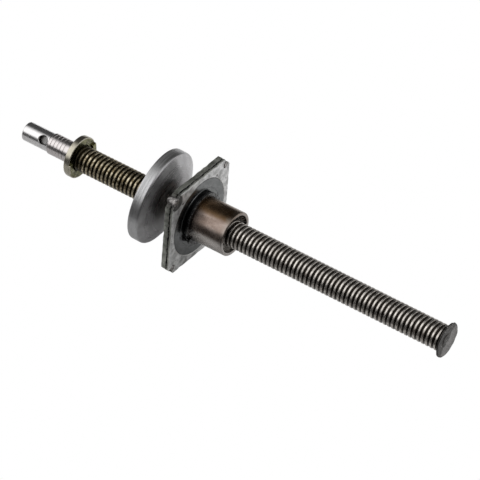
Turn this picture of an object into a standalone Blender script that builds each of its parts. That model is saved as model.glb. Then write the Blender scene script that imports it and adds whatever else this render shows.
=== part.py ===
"""Ball screw of a jack leg: a left-hand ground screw with its drive journal, a thrust collar, a loose
guide disc, and a ball nut carried in a square two-layer plate.

The screw's axis is +X. The origin is the centre of the drive journal's end face. Angles round the
screw are counted from +Y towards +Z. Lengths are in metres.
"""

import math

import bmesh
import bpy
from mathutils import Matrix, Vector

MM = 0.001
GAP = 0.3 * MM  # kept between pieces that touch on the real object

# Screw
LEAD = 25.4 * MM / 7.5
SCREW_RADIUS = 9.525 * MM
ROOT_RADIUS = 8.35 * MM
LAND_SHARE = 0.2  # part of the lead that is left as land between two turns of the groove
THREAD_START = 46.4 * MM
THREAD_END = 351.6 * MM
NECK_RADIUS = 7.9 * MM
SCREW_SEGMENTS = 12

# Drive journal
JOURNAL_RADIUS = 7.15 * MM
JOURNAL_CHAMFER = 0.8 * MM
SEAT_RADIUS = 7.94 * MM
SEAT_START = 22.3 * MM
SEAT_END = THREAD_START - GAP
RING_COUNT = 5
RING_SPACING = 2.8 * MM
RING_WIDTH = 0.8 * MM
RING_DEPTH = 0.3 * MM
CROSS_HOLE_RADIUS = 3.175 * MM
CROSS_HOLE_STATION = 18.0 * MM
CROSS_HOLE_ANGLE = math.radians(143.7)

# Thrust collar
COLLAR_RADIUS = 15.7 * MM
COLLAR_BACK = 44.0 * MM
COLLAR_FRONT = 48.6 * MM
LUG_HEIGHT = 1.5 * MM
LUG_WIDTH = 7.6 * MM
LUG_ANGLE = math.radians(8)

# Guide disc
DISC_RADIUS = 35.1 * MM
DISC_PIVOT = (117.55 * MM, 0.53 * MM, 0.56 * MM)  # its centre, hanging off the axis in its loose bore
DISC_HALF_WIDTH = 4.5 * MM
DISC_LEAN = math.radians(5.7)
DISC_LEAN_ANGLE = math.radians(120.8)  # the side of the disc that leans towards the nut
DISC_RIM_FRONT = 7.0 * MM
DISC_FRONT = (  # distance from the back face, and how far inside the rim
    (8.0 * MM, 0.4 * MM), (9.1 * MM, 2.4 * MM), (10.6 * MM, 5.0 * MM), (12.2 * MM, 8.5 * MM),
    (13.8 * MM, 12.5 * MM), (15.2 * MM, 17.0 * MM), (16.2 * MM, 21.0 * MM),
)
DISC_EDGE = 0.9 * MM
DISC_BORE_RADIUS = 11.3 * MM

# Square plates
PLATE_HALF_SIDE = 33.5 * MM
CORNER_REACH = 43.2 * MM  # from the axis to the flat that cuts each corner
NOTCH_RADIUS = 2.4 * MM
WIDE_NOTCH_CORNER = 1
WIDE_NOTCH_WIDTH = 11.4 * MM
WIDE_NOTCH_REACH = 41.2 * MM
TACK_REACH = 40.2 * MM
TACK_RADIUS = 1.9 * MM
REAR_PLATE = (144.2 * MM, 148.2 * MM)
FRONT_PLATE = (148.6 * MM, 150.9 * MM)
PILOT_RADIUS = 20.0 * MM
FLANGE_RADIUS = 29.2 * MM

# Nut
SLEEVE_RADIUS = 16.5 * MM
SLEEVE_BORE_RADIUS = 14.1 * MM
SLEEVE = (143.0 * MM, 181.3 * MM)
HUB_RADIUS = 18.4 * MM
HUB_FRONT = 152.9 * MM
SNAP_RING_RADIUS = 19.6 * MM
SNAP_RING = (153.2 * MM, 154.8 * MM)
SNAP_RING_GAP = (math.radians(190), math.radians(212))
NUT_BODY = (150.3 * MM, 170.7 * MM)
CLEAR_RADIUS = 9.95 * MM  # inside radius of every ring that the screw passes through
WIPER_WIDTH = 1.6 * MM
RETAINER_WIDTH = 2.4 * MM
RETAINER_SLOTS = 5
SLOT_WIDTH = 3.4 * MM
SLOT_DEPTH = 1.7 * MM
NUT_SEGMENTS = 20

# Balls and race
BALL_COUNT = 22
BALL_RADIUS = 1.0 * MM
BALL_PATH_RADIUS = 9.85 * MM
RACE_RADIUS = 11.2 * MM
RACE_FLOOR_SHARE = 0.3
FIRST_BALL_ANGLE = math.radians(22)
LAST_BALL_ANGLE = math.radians(338)
CIRCUIT_TURN = 46  # turn of the thread, counted from the origin, that the balls fill
RETURN_RADIUS = 2.4 * MM
RETURN_DEPTH = 2.9 * MM
RETURN_STATIONS = (46 * LEAD, 49 * LEAD)

# End stop
STOP_RADIUS = 12.85 * MM
STOP_BACK = 353.8 * MM
STOP_FRONT = 355.0 * MM
STOP_DISH = 0.5 * MM
TENON_RADIUS = 4.0 * MM
TENON_FLARE = 1.0 * MM

ROUND_SEGMENTS = 32
DISC_SEGMENTS = 48
SMALL_SEGMENTS = 16
OVERCUT = 2 * MM


def clear_scene():
    for obj in list(bpy.data.objects):
        bpy.data.objects.remove(obj, do_unlink=True)


def steel(name, color, roughness):
    material = bpy.data.materials.new(name)
    material.use_nodes = True
    shader = material.node_tree.nodes["Principled BSDF"]
    shader.inputs["Base Color"].default_value = (*color, 1.0)
    shader.inputs["Roughness"].default_value = roughness
    shader.inputs["Metallic"].default_value = 1.0
    return material


def at(station, radius, angle):
    """The point this far along the screw and out from its axis, at this angle round it."""
    return Vector((station, radius * math.cos(angle), radius * math.sin(angle)))


def make_object(name, shape, material=None):
    """An object from a bmesh. One with no material is a cutter."""
    bmesh.ops.recalc_face_normals(shape, faces=shape.faces)
    mesh = bpy.data.meshes.new(name)
    shape.to_mesh(mesh)
    shape.free()
    mesh.shade_smooth()
    mesh.set_sharp_from_angle(angle=math.radians(32))
    obj = bpy.data.objects.new(name, mesh)
    bpy.context.scene.collection.objects.link(obj)
    if material:
        mesh.materials.append(material)
    else:
        obj.hide_render = True
        obj.display_type = "WIRE"
    return obj


def boolean(target, tool, operation="DIFFERENCE"):
    modifier = target.modifiers.new(tool.name, "BOOLEAN")
    modifier.operation = operation
    modifier.solver = "EXACT"
    modifier.object = tool


def turned_shape(profile, segments, start=0.0, sweep=math.tau):
    """A closed profile of (station, radius) points turned round the screw's axis. A stretch of it
    that lies on the axis makes no surface."""
    shape = bmesh.new()
    corners = [shape.verts.new(at(station, radius, start)) for station, radius in profile]
    outline = []
    for (_, radius), (_, next_radius), corner, next_corner in zip(
        profile, profile[1:] + profile[:1], corners, corners[1:] + corners[:1]
    ):
        if radius or next_radius:
            outline.append(shape.edges.new((corner, next_corner)))
    swept = bmesh.ops.spin(
        shape, geom=[*corners, *outline], cent=(0, 0, 0), axis=(1, 0, 0), angle=sweep,
        steps=segments,
    )
    if sweep < math.tau:
        end = [item for item in swept["geom_last"] if isinstance(item, bmesh.types.BMEdge)]
        bmesh.ops.edgeloop_fill(shape, edges=outline)
        bmesh.ops.edgeloop_fill(shape, edges=end)
    bmesh.ops.remove_doubles(shape, verts=shape.verts, dist=0.001 * MM)
    return shape


def turned(name, profile, material=None, segments=ROUND_SEGMENTS):
    return make_object(name, turned_shape(profile, segments), material)


def ring_profile(back, front, inner, outer, chamfer=0.3 * MM):
    """A rectangular section with its two outer corners broken."""
    return [
        (back, inner), (front, inner), (front, outer - chamfer), (front - chamfer, outer),
        (back + chamfer, outer), (back, outer - chamfer),
    ]


def helix(name, profile, back, front, segments, material=None):
    """A closed left-hand helix between two flat ends. The profile gives the radius at each share of
    the lead, from one land to the next, with the groove's middle at a share of one half."""
    rows = len(profile)
    first_turn = math.floor(back / LEAD) - 3
    turns = math.ceil(front / LEAD) + 3 - first_turn
    shape = bmesh.new()
    grid = []
    for column in range(segments):
        turned_by = column / segments
        line = []
        for row in range(turns * rows):
            share, radius = profile[row % rows]
            station = (first_turn + row // rows + share + turned_by) * LEAD
            line.append(shape.verts.new(at(station, radius, -turned_by * math.tau)))
        grid.append(line)
    for column in range(segments):
        # One turn on, the last column meets the first a whole lead further along.
        wraps = column == segments - 1
        beside = grid[0][rows:] if wraps else grid[column + 1]
        here = grid[column]
        for row in range(len(beside) - 1):
            shape.faces.new((here[row], here[row + 1], beside[row + 1], beside[row]))
    for station, direction in ((back, -1), (front, 1)):
        cut = bmesh.ops.bisect_plane(
            shape, geom=[*shape.verts, *shape.edges, *shape.faces], dist=0.0001 * MM,
            plane_co=(station, 0, 0), plane_no=(direction, 0, 0), clear_outer=True,
        )
        rim = [item for item in cut["geom_cut"] if isinstance(item, bmesh.types.BMEdge)]
        bmesh.ops.edgeloop_fill(shape, edges=rim)
    return make_object(name, shape, material)


def groove_station(turn, angle):
    """Where the middle of the groove lies at this angle, in the given turn of the thread."""
    return (turn + 0.5 - angle / math.tau) * LEAD


def rod(name, foot, direction, length, radius, segments, material=None):
    """A straight round bar from its foot along a direction."""
    shape = bmesh.new()
    bmesh.ops.create_cone(
        shape, cap_ends=True, segments=segments, radius1=radius, radius2=radius, depth=length,
    )
    turn = direction.to_track_quat("Z", "Y").to_matrix().to_4x4()
    middle = foot + direction * (length / 2)
    bmesh.ops.transform(shape, matrix=Matrix.Translation(middle) @ turn, verts=shape.verts)
    return make_object(name, shape, material)


def block(name, middle, size, angle, material=None):
    """A box whose second axis points outwards from the screw at this angle."""
    shape = bmesh.new()
    bmesh.ops.create_cube(shape, size=1.0)
    turn = Matrix.Rotation(angle, 4, "X") @ Matrix.Diagonal((*size, 1.0))
    bmesh.ops.transform(shape, matrix=Matrix.Translation(middle) @ turn, verts=shape.verts)
    return make_object(name, shape, material)


# ---------------------------------------------------------------- screw


def drive_journal(material):
    step = JOURNAL_CHAMFER
    profile = [
        (0, 0), (0, JOURNAL_RADIUS - step), (step, JOURNAL_RADIUS),
        (SEAT_START, JOURNAL_RADIUS), (SEAT_START + step, SEAT_RADIUS),
    ]
    for ring in range(RING_COUNT):
        start = SEAT_START + (ring + 1) * RING_SPACING
        profile += [
            (start, SEAT_RADIUS), (start + RING_WIDTH / 4, SEAT_RADIUS - RING_DEPTH),
            (start + RING_WIDTH * 3 / 4, SEAT_RADIUS - RING_DEPTH), (start + RING_WIDTH, SEAT_RADIUS),
        ]
    profile += [(SEAT_END, SEAT_RADIUS), (SEAT_END, 0)]
    journal = turned("drive_journal", profile, material)
    outward = at(0, 1, CROSS_HOLE_ANGLE)
    centre = Vector((CROSS_HOLE_STATION, 0, 0))
    reach = JOURNAL_RADIUS + OVERCUT
    hole = rod(
        "cross_hole_cutter", centre - outward * reach, outward, 2 * reach, CROSS_HOLE_RADIUS,
        SMALL_SEGMENTS,
    )
    boolean(journal, hole)


def screw_shaft(material):
    half_land = LAND_SHARE / 2
    thread = [(half_land, SCREW_RADIUS), (0.5, ROOT_RADIUS), (1 - half_land, SCREW_RADIUS)]
    shaft = helix("screw_shaft", thread, THREAD_START, THREAD_END, SCREW_SEGMENTS, material)
    neck_end = STOP_BACK - GAP
    tip = STOP_FRONT - STOP_DISH
    profile = [
        (THREAD_END - LEAD, 0), (THREAD_END - LEAD, NECK_RADIUS), (neck_end, NECK_RADIUS),
        (neck_end, TENON_RADIUS), (tip - TENON_FLARE / 2, TENON_RADIUS),
        (tip, TENON_RADIUS + TENON_FLARE), (tip, 0),
    ]
    neck = turned("neck_and_tenon", profile, None, SMALL_SEGMENTS)
    boolean(shaft, neck, "UNION")


def end_stop(material):
    floor = STOP_FRONT - STOP_DISH
    bore = TENON_RADIUS + GAP
    flare = bore + TENON_FLARE
    rim = STOP_RADIUS - 1.6 * MM
    turned("end_stop", [
        (STOP_BACK, bore), (floor - TENON_FLARE / 2, bore), (floor, flare), (floor, rim - STOP_DISH),
        (STOP_FRONT, rim), (STOP_FRONT, STOP_RADIUS - 0.3 * MM), (STOP_FRONT - 0.3 * MM, STOP_RADIUS),
        (STOP_BACK, STOP_RADIUS - 0.2 * MM),
    ], material)


# ---------------------------------------------------------------- collar and disc


def thrust_collar(material):
    edge = 0.6 * MM
    step = THREAD_START - 2 * GAP
    seat_bore = SEAT_RADIUS + GAP
    collar = turned("thrust_collar", [
        (COLLAR_BACK, seat_bore), (step, seat_bore), (step, CLEAR_RADIUS), (COLLAR_FRONT, CLEAR_RADIUS),
        (COLLAR_FRONT, COLLAR_RADIUS - edge), (COLLAR_FRONT - edge, COLLAR_RADIUS),
        (COLLAR_BACK + edge, COLLAR_RADIUS), (COLLAR_BACK, COLLAR_RADIUS - edge),
    ], material)
    inner = CLEAR_RADIUS + 1.2 * MM
    outer = COLLAR_RADIUS - edge
    for number, angle in enumerate((LUG_ANGLE, LUG_ANGLE + math.pi)):
        length = LUG_HEIGHT + 1 * MM
        middle = at(COLLAR_FRONT + LUG_HEIGHT - length / 2, (inner + outer) / 2, angle)
        lug = block(f"lug_{number + 1}", middle, (length, outer - inner, LUG_WIDTH), angle)
        boolean(collar, lug, "UNION")


def guide_disc(material):
    """A thick disc with a crowned front. It's loose on the screw, so it leans."""
    front, _ = DISC_FRONT[-1]
    profile = [(0, DISC_BORE_RADIUS), (front, DISC_BORE_RADIUS)]
    profile += [(distance, DISC_RADIUS - inside) for distance, inside in reversed(DISC_FRONT)]
    profile += [
        (DISC_RIM_FRONT, DISC_RADIUS), (DISC_EDGE, DISC_RADIUS), (0, DISC_RADIUS - DISC_EDGE),
    ]
    centred = [(distance - DISC_HALF_WIDTH, radius) for distance, radius in profile]
    disc = turned("guide_disc", centred, material, DISC_SEGMENTS)
    normal = at(math.cos(DISC_LEAN), -math.sin(DISC_LEAN), DISC_LEAN_ANGLE)
    lean = Vector((1, 0, 0)).rotation_difference(normal).to_matrix().to_4x4()
    disc.matrix_world = Matrix.Translation(DISC_PIVOT) @ lean


# ---------------------------------------------------------------- plates


def square_plate(name, back, front, bore, material):
    """A square with its corners cut flat, a notch in each cut, and a round bore."""
    cut = CORNER_REACH * math.sqrt(2) - PLATE_HALF_SIDE
    quarter = [(PLATE_HALF_SIDE, cut), (cut, PLATE_HALF_SIDE)]
    outline = []
    for turns in range(4):
        for y, z in quarter:
            outline.append(Matrix.Rotation(turns * math.pi / 2, 2) @ Vector((y, z)))
    shape = bmesh.new()
    face = shape.faces.new([shape.verts.new((back, *point)) for point in outline])
    grown = bmesh.ops.extrude_face_region(shape, geom=[face])
    corners = [item for item in grown["geom"] if isinstance(item, bmesh.types.BMVert)]
    bmesh.ops.translate(shape, vec=(front - back, 0, 0), verts=corners)
    plate = make_object(name, shape, material)
    length = front - back + 2 * OVERCUT
    along = Vector((1, 0, 0))
    foot = Vector((back - OVERCUT, 0, 0))
    boolean(plate, rod(f"{name}_bore_cutter", foot, along, length, bore, DISC_SEGMENTS))
    for number in range(4):
        angle = math.radians(45 + 90 * number)
        round_end = at(back - OVERCUT, TACK_REACH, angle)
        cutter = rod(
            f"{name}_notch_{number + 1}", round_end, along, length, NOTCH_RADIUS, SMALL_SEGMENTS,
        )
        boolean(plate, cutter)
        reach = CORNER_REACH - TACK_REACH + OVERCUT
        middle = at((back + front) / 2, TACK_REACH + reach / 2, angle)
        slot = block(f"{name}_slot_{number + 1}", middle, (length, reach, 2 * NOTCH_RADIUS), angle)
        boolean(plate, slot)
    angle = math.radians(45 + 90 * WIDE_NOTCH_CORNER)
    middle = at((back + front) / 2, WIDE_NOTCH_REACH + OVERCUT, angle)
    size = (length, 2 * OVERCUT, WIDE_NOTCH_WIDTH)
    boolean(plate, block(f"{name}_wide_notch", middle, size, angle))


def corner_tacks(material):
    for number in range(4):
        angle = math.radians(45 + 90 * number)
        length = FRONT_PLATE[1] - REAR_PLATE[0]
        foot = at(REAR_PLATE[0], TACK_REACH, angle)
        rod(
            f"corner_tack_{number + 1}", foot, Vector((1, 0, 0)), length, TACK_RADIUS, SMALL_SEGMENTS,
            material,
        )


# ---------------------------------------------------------------- nut


def nut_shell(dark, brown, bright):
    bore = SLEEVE_RADIUS + GAP
    turned("pilot_ring", ring_profile(REAR_PLATE[0], REAR_PLATE[1], bore, PILOT_RADIUS), dark)
    turned("nut_flange", ring_profile(
        REAR_PLATE[1] + GAP, FRONT_PLATE[1], bore, FLANGE_RADIUS,
    ), dark, DISC_SEGMENTS)
    turned("nut_hub", ring_profile(FRONT_PLATE[1] + GAP, HUB_FRONT, bore, HUB_RADIUS), dark)
    back, front = SLEEVE
    edge = 0.5 * MM
    turned("nut_sleeve", [
        (back, SLEEVE_BORE_RADIUS), (front - edge, SLEEVE_BORE_RADIUS),
        (front, SLEEVE_BORE_RADIUS + edge), (front, SLEEVE_RADIUS - edge),
        (front - edge, SLEEVE_RADIUS), (back, SLEEVE_RADIUS),
    ], brown)
    start = SNAP_RING_GAP[1]
    sweep = math.tau - (SNAP_RING_GAP[1] - SNAP_RING_GAP[0])
    profile = ring_profile(*SNAP_RING, bore, SNAP_RING_RADIUS)
    make_object("snap_ring", turned_shape(profile, ROUND_SEGMENTS, start, sweep), bright)


def ball_nut(material):
    outer = SLEEVE_BORE_RADIUS - GAP
    back, front = NUT_BODY
    nut = rod("ball_nut_body", Vector((back, 0, 0)), Vector((1, 0, 0)), front - back, outer,
              ROUND_SEGMENTS, material)
    half_land = LAND_SHARE / 2
    half_floor = RACE_FLOOR_SHARE / 2
    race = [
        (half_land, CLEAR_RADIUS), (0.5 - half_floor, RACE_RADIUS),
        (0.5 + half_floor, RACE_RADIUS), (1 - half_land, CLEAR_RADIUS),
    ]
    cutter = helix("race_cutter", race, back - OVERCUT, front + OVERCUT, NUT_SEGMENTS)
    boolean(nut, cutter)
    outward = at(0, 1, 0)
    for number, station in enumerate(RETURN_STATIONS):
        foot = at(station, outer - RETURN_DEPTH - OVERCUT, 0)
        pocket = rod(
            f"return_pocket_{number + 1}", foot, outward, RETURN_DEPTH + 2 * OVERCUT,
            RETURN_RADIUS + GAP, SMALL_SEGMENTS,
        )
        boolean(nut, pocket)


def ball_returns(material):
    outer = SLEEVE_BORE_RADIUS - 2 * GAP
    outward = at(0, 1, 0)
    for number, station in enumerate(RETURN_STATIONS):
        foot = at(station, outer - RETURN_DEPTH, 0)
        rod(f"ball_return_{number + 1}", foot, outward, RETURN_DEPTH, RETURN_RADIUS,
            SMALL_SEGMENTS, material)


def balls(material):
    step = (LAST_BALL_ANGLE - FIRST_BALL_ANGLE) / (BALL_COUNT - 1)
    shape = bmesh.new()
    bmesh.ops.create_icosphere(shape, subdivisions=2, radius=BALL_RADIUS)
    first = make_object("ball_01", shape, material)
    for number in range(BALL_COUNT):
        ball = first
        if number:
            ball = bpy.data.objects.new(f"ball_{number + 1:02d}", first.data)
            bpy.context.scene.collection.objects.link(ball)
        angle = FIRST_BALL_ANGLE + number * step
        ball.location = at(groove_station(CIRCUIT_TURN, angle), BALL_PATH_RADIUS, angle)


def nut_ends(rubber, dark):
    """A wiper and a slotted retainer ring at each end of the nut body, inside the sleeve."""
    outer = SLEEVE_BORE_RADIUS - GAP
    for side, face, outward in (("rear", NUT_BODY[0], -1), ("front", NUT_BODY[1], 1)):
        near = face + outward * GAP
        far = near + outward * WIPER_WIDTH
        turned(f"{side}_wiper", ring_profile(min(near, far), max(near, far), CLEAR_RADIUS, outer), rubber)
        near = far + outward * GAP
        far = near + outward * RETAINER_WIDTH
        back, front = min(near, far), max(near, far)
        retainer = turned(
            f"{side}_retainer", ring_profile(back, front, CLEAR_RADIUS + GAP, outer), dark,
        )
        for number in range(RETAINER_SLOTS):
            angle = math.tau * (number + 0.25) / RETAINER_SLOTS
            depth = SLOT_DEPTH + OVERCUT
            middle = at((back + front) / 2, CLEAR_RADIUS + SLOT_DEPTH - depth / 2, angle)
            size = (front - back + 2 * OVERCUT, depth, SLOT_WIDTH)
            boolean(retainer, block(f"{side}_slot_{number + 1}", middle, size, angle))


def main():
    clear_scene()
    polished = steel("polished_steel", (0.72, 0.72, 0.74), 0.22)
    ground = steel("ground_steel", (0.42, 0.40, 0.37), 0.35)
    zinc = steel("yellow_zinc", (0.42, 0.39, 0.24), 0.4)
    satin = steel("satin_steel", (0.52, 0.52, 0.54), 0.38)
    cast = steel("galvanised_plate", (0.45, 0.45, 0.44), 0.6)
    dark = steel("dark_steel", (0.14, 0.15, 0.15), 0.45)
    brown = steel("tempered_steel", (0.27, 0.19, 0.14), 0.35)
    hard = steel("ball_steel", (0.6, 0.6, 0.62), 0.12)
    rubber = steel("wiper_felt", (0.03, 0.03, 0.03), 0.9)
    rubber.node_tree.nodes["Principled BSDF"].inputs["Metallic"].default_value = 0.0
    drive_journal(polished)
    screw_shaft(ground)
    end_stop(dark)
    thrust_collar(zinc)
    guide_disc(satin)
    square_plate("rear_plate", *REAR_PLATE, PILOT_RADIUS + GAP, cast)
    square_plate("front_plate", *FRONT_PLATE, FLANGE_RADIUS + GAP, cast)
    corner_tacks(cast)
    nut_shell(dark, brown, satin)
    ball_nut(satin)
    ball_returns(dark)
    balls(hard)
    nut_ends(rubber, dark)


main()
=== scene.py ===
import math

import bmesh
import bpy
from mathutils import Matrix, Vector, noise


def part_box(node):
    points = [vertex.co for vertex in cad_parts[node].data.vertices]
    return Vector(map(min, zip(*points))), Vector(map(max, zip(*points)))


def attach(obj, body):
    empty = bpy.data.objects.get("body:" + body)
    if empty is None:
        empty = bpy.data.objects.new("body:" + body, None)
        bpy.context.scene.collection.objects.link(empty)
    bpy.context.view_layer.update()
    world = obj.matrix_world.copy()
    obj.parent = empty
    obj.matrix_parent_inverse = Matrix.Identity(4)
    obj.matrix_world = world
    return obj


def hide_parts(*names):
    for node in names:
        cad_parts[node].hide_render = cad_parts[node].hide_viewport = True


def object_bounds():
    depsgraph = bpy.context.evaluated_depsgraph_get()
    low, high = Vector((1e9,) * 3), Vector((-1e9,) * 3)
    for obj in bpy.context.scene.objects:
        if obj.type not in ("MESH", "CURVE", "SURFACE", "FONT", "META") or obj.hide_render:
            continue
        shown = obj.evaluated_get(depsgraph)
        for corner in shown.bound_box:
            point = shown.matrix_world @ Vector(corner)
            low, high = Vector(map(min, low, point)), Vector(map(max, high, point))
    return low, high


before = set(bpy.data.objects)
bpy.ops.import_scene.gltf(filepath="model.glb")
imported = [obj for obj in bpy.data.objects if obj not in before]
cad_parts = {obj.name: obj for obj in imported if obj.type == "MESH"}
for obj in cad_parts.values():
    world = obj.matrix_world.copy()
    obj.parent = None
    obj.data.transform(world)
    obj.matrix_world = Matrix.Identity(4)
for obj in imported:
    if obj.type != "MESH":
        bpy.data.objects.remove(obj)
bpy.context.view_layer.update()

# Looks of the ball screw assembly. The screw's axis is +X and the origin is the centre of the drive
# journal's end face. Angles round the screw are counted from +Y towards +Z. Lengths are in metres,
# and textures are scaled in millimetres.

MM = 0.001
WHOLE_TURN = 2 * math.pi
SHARP_ANGLE = math.radians(38)
FINE, ROUND, SMALL = 192, 128, 48  # segments of wide, middling and small turned pieces

# Screw
LEAD = 25.4 * MM / 7.5
ROOT_RADIUS = 8.5 * MM
LAND_SHARE = 0.40  # part of the lead left as land between two turns of the groove
CREST_ROUND = 0.05
THREAD_END = 351.6 * MM
NECK_RADIUS = 7.9 * MM
CROSS_HOLE_STATION = 18.0 * MM
CROSS_HOLE_RADIUS = 3.175 * MM
CROSS_HOLE_ANGLE = math.radians(143.7)
HOLE_MOUTH = 0.8 * MM
JOURNAL_RADIUS = 7.15 * MM
SEAT_START = 22.3 * MM
RING_COUNT = 5
RING_SPACING = 2.8 * MM
RING_WIDTH = 0.8 * MM
RING_DEPTH = 0.3 * MM

# Guide disc
DISC_PIVOT = (117.55 * MM, 0.53 * MM, 0.56 * MM)
DISC_HALF_WIDTH = 4.5 * MM
DISC_LEAN = math.radians(5.7)
DISC_LEAN_ANGLE = math.radians(120.8)
DISC_RADIUS = 35.1 * MM
DISC_BORE = 11.3 * MM

# Plates
NEAR_CORNER = 1
CORNER_REACH = 43.2 * MM
TACK_REACH = 40.2 * MM
NOTCH_RADIUS = 2.4 * MM
WIDE_NOTCH_WIDTH = 11.4 * MM
WIDE_NOTCH_REACH = 41.2 * MM
PLATE_EDGE = 0.6 * MM

# Studio
FLOOR_REACH = 6.0
ROOM_LEVEL = 0.09  # light from everywhere that no panel fills


def at(station, radius, angle):
    """The point this far along the screw and out from its axis, at this angle round it."""
    return Vector((station, radius * math.cos(angle), radius * math.sin(angle)))


def ends(node):
    """Where a CAD node starts and ends along the screw, and its reach out from the axis."""
    low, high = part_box(node)
    return low.x, high.x, max(high.y, high.z)


# ---------------------------------------------------------------- finishes


class Nodes:
    """A node tree. The methods add nodes and return their output sockets."""

    def __init__(self, tree):
        self.tree = tree

    def add(self, kind, settings=None, inputs=None):
        node = self.tree.nodes.new(kind)
        for key, value in (settings or {}).items():
            setattr(node, key, value)
        for key, value in (inputs or {}).items():
            if isinstance(value, bpy.types.NodeSocket):
                self.tree.links.new(value, node.inputs[key])
            else:
                node.inputs[key].default_value = value
        return node

    def math(self, operation, first, second=0.0):
        return self.add("ShaderNodeMath", {"operation": operation}, {0: first, 1: second}).outputs[0]

    def span(self, value, low, high, start=0.0, end=1.0, smooth=True):
        kind = "SMOOTHSTEP" if smooth else "LINEAR"
        return self.add("ShaderNodeMapRange", {"interpolation_type": kind}, {
            0: value, 1: low, 2: high, 3: start, 4: end}).outputs[0]


class Finish(Nodes):
    """A procedural metal."""

    def __init__(self, name, metallic=1.0):
        self.material = bpy.data.materials.new(name)
        self.material.use_nodes = True
        super().__init__(self.material.node_tree)
        self.shader = self.tree.nodes["Principled BSDF"]
        self.shader.inputs["Metallic"].default_value = metallic
        local = self.add("ShaderNodeTexCoord").outputs["Object"]
        scaled = self.add("ShaderNodeVectorMath", {"operation": "SCALE"}, {0: local})
        scaled.inputs["Scale"].default_value = 1 / MM
        self.place = scaled.outputs[0]
        split = self.add("ShaderNodeSeparateXYZ", {}, {0: self.place})
        self.x, self.y, self.z = split.outputs
        squares = self.math("ADD", self.math("MULTIPLY", self.y, self.y),
                            self.math("MULTIPLY", self.z, self.z))
        self.radius = self.math("SQRT", squares)

    def noise(self, size, place=None, detail=3.0, rough=0.55, swirl=0.0):
        """Noise of about this grain size in millimetres."""
        inputs = {"Vector": place or self.place, "Scale": 1 / size, "Detail": detail,
                  "Roughness": rough, "Distortion": swirl}
        return self.add("ShaderNodeTexNoise", {}, inputs).outputs["Fac"]

    def stretched(self, along, across, up=None):
        """Object coordinates squeezed by these factors, which stretches the grain."""
        factors = (along, across, across if up is None else up)
        return self.add("ShaderNodeVectorMath", {"operation": "MULTIPLY"},
                        {0: self.place, 1: factors}).outputs[0]

    def turned_place(self, spread=0.02):
        """Coordinates that hardly change round the axis, for marks left by turning."""
        return self.add("ShaderNodeCombineXYZ", {}, {
            0: self.x, 1: self.radius, 2: self.math("MULTIPLY", self.z, spread)}).outputs[0]

    def mix(self, share, first, second):
        node = self.add("ShaderNodeMix", {"data_type": "RGBA"})
        for key, value in ((0, share), (6, first), (7, second)):
            if isinstance(value, bpy.types.NodeSocket):
                self.tree.links.new(value, node.inputs[key])
            elif key == 0:
                node.inputs[key].default_value = value
            else:
                node.inputs[key].default_value = (*value, 1.0)
        return node.outputs[2]

    def specks(self, size, share):
        """A mask of scattered round pits, about this far apart, each filling this share of its cell."""
        cells = self.add("ShaderNodeTexVoronoi", {}, {
            "Vector": self.place, "Scale": 1 / size, "Randomness": 1.0})
        chosen = self.span(self.noise(size * 2.2, detail=0.0), 0.52, 0.56)
        return self.math("MULTIPLY", self.span(cells.outputs["Distance"], share, share * 0.6), chosen)

    def color(self, socket):
        self.tree.links.new(socket, self.shader.inputs["Base Color"])

    def roughness(self, low, high, size=2.0, place=None):
        grain = self.noise(size, place, detail=4.0)
        self.tree.links.new(self.span(grain, 0.3, 0.7, low, high, False), self.shader.inputs["Roughness"])

    def bump(self, height, depth):
        """Adds relief of this depth in millimetres on top of any already there."""
        node = self.add("ShaderNodeBump", {}, {"Height": height, "Strength": 1.0, "Distance": depth * MM})
        before = self.shader.inputs["Normal"].links
        if before:
            self.tree.links.new(before[0].from_socket, node.inputs["Normal"])
        self.tree.links.new(node.outputs[0], self.shader.inputs["Normal"])


def journal_finish():
    look = Finish("journal_steel")
    lines = look.noise(0.35, look.turned_place(0.01), detail=4.0)
    base = look.mix(look.noise(5.0), (0.62, 0.61, 0.61), (0.74, 0.73, 0.73))
    seat = look.span(look.x, 21.0, 24.0)
    pink = look.mix(look.noise(1.6, detail=4.0), (0.60, 0.54, 0.52), (0.50, 0.47, 0.47))
    base = look.mix(look.math("MULTIPLY", seat, 0.7), base, pink)
    base = look.mix(look.math("MULTIPLY", look.span(lines, 0.5, 0.75), 0.35), base, (0.30, 0.29, 0.28))
    # The inside of the cross hole is painted dark grey: painted shade in the hole.
    painted_hole_shade = look.math("MULTIPLY", look.span(look.radius, 6.95, 6.4), look.span(look.x, 2.0, 6.0))
    look.color(look.mix(painted_hole_shade, base, (0.18, 0.175, 0.17)))
    look.roughness(0.17, 0.28, 1.2, look.turned_place(0.02))
    look.bump(lines, 0.006)
    scratches = look.noise(0.5, look.stretched(0.15, 1.0), detail=5.0)
    look.bump(look.span(scratches, 0.6, 0.75), 0.004)
    return look.material


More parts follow.
